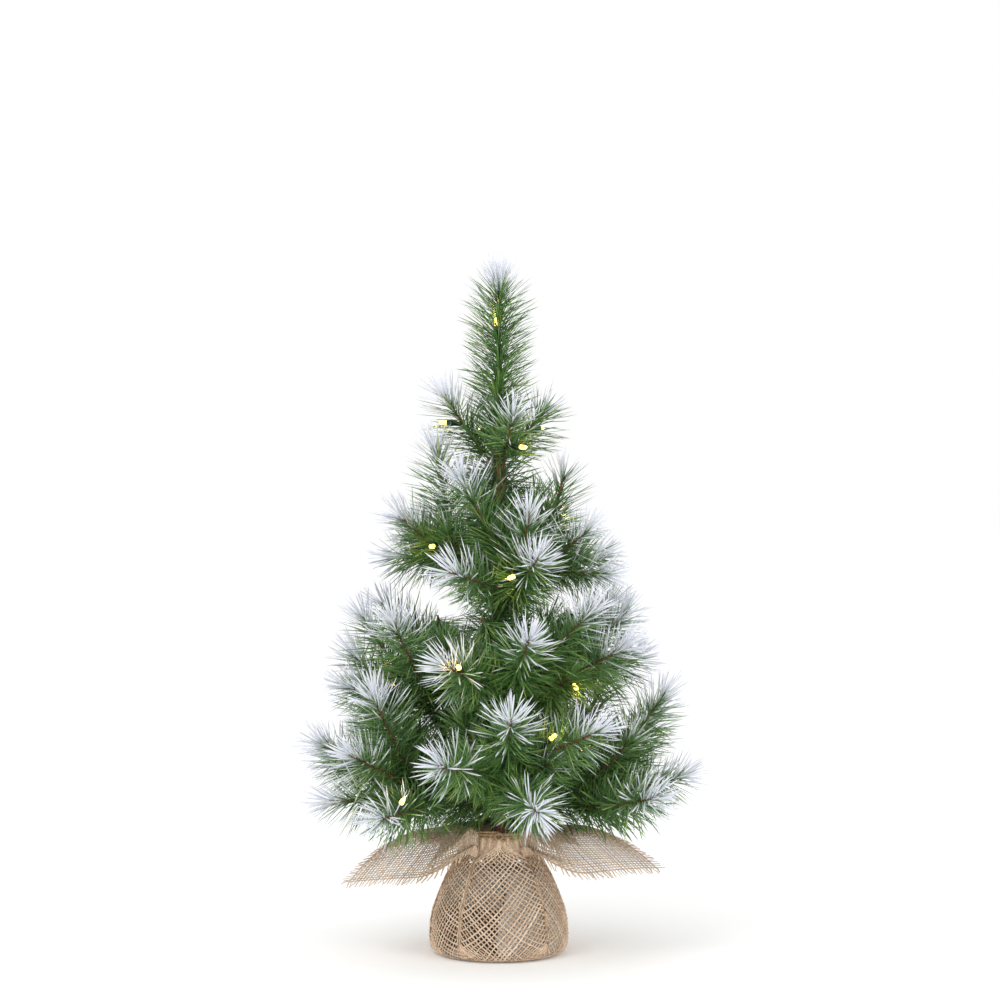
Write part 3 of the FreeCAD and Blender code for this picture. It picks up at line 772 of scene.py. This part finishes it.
# The four corners in turn: front, right, back and left.
CORNER_SHIFTS = (0, -16, -2, 19)  # degrees from a true square
CORNER_SLOPES = np.array([0.45, 0.30, 0.34, 0.40])
CORNER_TILTS = np.array([0, 0.20, 0, -0.16])
EDGE_SLOPE = 0.66  # how steeply the cloth between two corners hangs
TUCK_ANGLE, TUCK_SPAN = 40, 22  # degrees either side of the front within which the cloth is tucked in
CORNER_LENGTH = 127 * MM


def smoothstep(value):
    """0 below 0 and 1 above 1, with a soft rise between."""
    value = np.clip(value, 0, 1)
    return value * value * (3 - 2 * value)


def corner_shift(angle):
    """How far, in degrees, the cloth is pulled round: the corners' own shifts, and a wave between them."""
    front, right, back, left = CORNER_SHIFTS
    turn = np.radians(angle)
    return ((front + right + back + left) / 4 + (front - back) / 2 * np.cos(turn)
            + (right - left) / 2 * np.sin(turn) + (front - right + back - left) / 4 * np.cos(2 * turn))


def profile_lengths():
    """The profile in metres and the distance along it to each of its points."""
    profile = np.array(PROFILE) * MM
    return profile, np.concatenate([[0], np.cumsum(np.hypot(*np.diff(profile, axis=0).T))])


def bag(spread, angle):
    """Radius, height and azimuth of the cloth under and round the weight."""
    profile, lengths = profile_lengths()
    radius = np.interp(spread, lengths, profile[:, 0])
    height = np.interp(spread, lengths, profile[:, 1])
    folds = np.array(FOLDS)
    panel = np.clip(np.searchsorted(folds, angle, side="right") - 1, 0, len(folds) - 2)
    low, high = folds[panel], folds[panel + 1]
    share = (angle - low) / (high - low) * 2 - 1
    slack = smoothstep((spread - 56 * MM) / (14 * MM))
    pull = smoothstep(spread / (60 * MM))
    low_azimuth = low + pull * corner_shift(low)
    high_azimuth = high + pull * corner_shift(high)
    room = (high_azimuth - low_azimuth) / (high - low) * radius / np.maximum(spread, 1e-6)
    open_share = np.clip(room * (1 - FOLD_GAP), FOLD_GAP, 1 - FOLD_GAP)
    size = np.abs(share)
    hidden = np.clip((size - open_share) / (1 - open_share), 0, 1)
    folded_in = 1 - FOLD_GAP + FOLD_GAP * hidden
    placed = np.where(size < open_share, size / open_share * (1 - FOLD_GAP), folded_in)
    loosening = smoothstep((spread - 140 * MM) / (24 * MM))
    placed = placed * slack * (1 - loosening) + size * (1 - slack * (1 - loosening))
    azimuth = low_azimuth + (np.sign(share) * placed + 1) / 2 * (high_azimuth - low_azimuth)
    depth = (2.6 + 5 * smoothstep((height - 60 * MM) / (20 * MM))) * MM
    lap = np.where(share > 0, 0.9, -0.5) * MM * smoothstep((placed - 0.7) / 0.25) * (hidden <= 0)
    radius = radius + (lap - depth * np.sin(hidden * math.pi / 2)) * slack * (1 - loosening)
    radius = radius + PLEAT_DEPTH * loosening * np.cos(np.radians(angle) * PLEATS)
    even = angle + corner_shift(angle)
    return radius, height, azimuth * (1 - loosening) + even * loosening


def corners(spread, angle):
    """Radius, height and azimuth of the cloth beyond the tie, where its four corners fan out."""
    profile, lengths = profile_lengths()
    neck_radius, neck_height = profile[-1]
    beyond = np.maximum(spread - lengths[-1], 0)
    quarter = np.round(angle / 90)
    offset = np.radians(angle - 90 * quarter)
    corner = (quarter % 4).astype(int)
    steep = CORNER_SLOPES[corner]
    slope = steep + (EDGE_SLOPE - steep) * np.sin(2 * offset) ** 2
    run = neck_radius + beyond * np.sqrt(1 - slope ** 2)
    flat = smoothstep(beyond / (60 * MM)) * (1 - smoothstep(np.abs(offset) / math.radians(45)))
    forward = run * np.cos(offset)
    sideways = run * np.sin(offset) * (1 - flat) + spread * np.sin(offset) * flat
    radius = np.hypot(forward, sideways)
    tilt = CORNER_TILTS[corner] * smoothstep(beyond / (50 * MM))
    height = (neck_height + 8 * MM * smoothstep(beyond / (12 * MM))
              - slope * np.maximum(beyond - 5 * MM, 0) + tilt * sideways)
    leaving = smoothstep(beyond / (15 * MM))
    wave = np.cos(np.radians(angle) * PLEATS)
    height = height + 2.0 * MM * (1 - flat) * leaving * wave
    radius = radius + PLEAT_DEPTH * (1 - leaving) * wave
    nominal = 90 * quarter + np.degrees(np.arctan2(sideways, forward))
    from_front = np.abs((nominal + 180) % 360 - 180)
    tucked = (1 - smoothstep((from_front - TUCK_ANGLE) / TUCK_SPAN)) * smoothstep(beyond / (6 * MM))
    tuck_radius = neck_radius - 3 * MM - 11 * MM * beyond / CORNER_LENGTH
    tuck_height = neck_height - 13 * MM + 13 * MM * np.cos(math.pi * beyond / (26 * MM))
    radius = radius * (1 - tucked) + tuck_radius * tucked
    height = height * (1 - tucked) + tuck_height * tucked
    return radius, height, nominal + corner_shift(nominal)


def cloth(across_x, across_y):
    """Where a point of the flat square of cloth lies once it is gathered."""
    spread = np.hypot(across_x, across_y)
    angle = np.degrees(np.arctan2(across_x, across_y)) + 45
    angle = (angle - FOLDS[0]) % 360 + FOLDS[0]
    beyond = spread > profile_lengths()[1][-1]
    places = zip(bag(spread, angle), corners(spread, angle))
    radius, height, azimuth = (np.where(beyond, far, near) for near, far in places)
    turn = np.radians(azimuth)
    return np.stack([radius * np.sin(turn), -radius * np.cos(turn), height], axis=-1)


def cloth_normal(across_x, across_y):
    """The way the gathered cloth faces at points of the flat square."""
    step = 0.4 * MM
    along_x = cloth(across_x + step, across_y) - cloth(across_x - step, across_y)
    along_y = cloth(across_x, across_y + step) - cloth(across_x, across_y - step)
    return unit(np.cross(along_x, along_y))


def make_threads(first_way, random):
    """One set of the weave's threads, passing over and under the other set."""
    half_width, half_thickness, rise, floor_gap, sides = 0.80 * MM, 0.36 * MM, 0.34 * MM, 0.6 * MM, 3
    half_count = int(HALF / PITCH)
    samples = np.arange(-half_count - 1, half_count + 2)
    points, faces, tones, total = [], [], [], 0
    for place in range(-half_count, half_count + 1):
        offset = place * PITCH + random.normal(0, 0.20 * MM)
        if abs(offset) > HALF - SELVAGE:
            continue
        reach = HALF + random.uniform(-2, 3, 2) * MM
        along = np.clip(samples * PITCH, -reach[0], reach[1])
        keep = np.concatenate([[True], np.diff(along) > 0.2 * MM])
        along, order = along[keep], samples[keep]
        loose = smoothstep((np.abs(along) - (HALF - SELVAGE)) / SELVAGE)
        cross = offset + random.normal(0, 0.14 * MM, len(along)) + loose * random.normal(0, 1.2 * MM)
        flat = (cross, along) if first_way else (along, cross)
        over = np.where((place + order) % 2 == 0, 1.0, -1.0) * (1 if first_way else -1)
        normal = cloth_normal(*flat)
        path = cloth(*flat) + normal * (over * rise * (1 - loose))[:, None]
        path[:, 2] = np.maximum(path[:, 2], floor_gap)
        width = half_width * random.uniform(0.75, 1.2) * random.uniform(0.88, 1.12, len(along))
        width = width * (1 - 0.35 * loose)
        points.append(sweep(path, width, np.full(len(along), half_thickness), normal, sides))
        faces += tube_faces(len(path), sides, total)
        total += len(path) * sides
        tones.append(np.full(len(path) * sides, np.clip(random.normal(0.52, 0.2), 0, 1)))
    return np.concatenate(points), faces, np.concatenate(tones)


def make_burlap():
    """The square of burlap, thread by thread."""
    random = np.random.default_rng(7)
    points, faces, tones = make_threads(True, random)
    more_points, more_faces, more_tones = make_threads(False, random)
    faces += shifted(more_faces, len(points))
    cloth_piece = piece("burlap_cloth", np.concatenate([points, more_points]), faces, "tree", "burlap",
                        ["burlap_wrap"], tone=np.concatenate([tones, more_tones]))


# ---------------------------------------------------------------- carried-over CAD parts

def paint_cad_parts():
    """The CAD parts that stay as they are, each in its own material."""
    kept = {
        "base_weight": "cement", "trunk_rod": "steel", "battery_case": "case", "battery_lid": "case",
        "power_switch": "switch", "battery_cells": "cell", "contact_springs": "contact",
        "contact_plates": "contact", "circuit_board": "board", "light_wire": "lead",
    }
    for node, slot in kept.items():
        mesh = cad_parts[node].data
        mesh.materials.clear()
        mesh.materials.append(paints[slot])


make_camera()
make_studio()
paints = make_paints()
make_branches()
make_bark()
make_trunk_needles()
make_twine()
make_burlap()
paint_cad_parts()

bpy.context.view_layer.update()
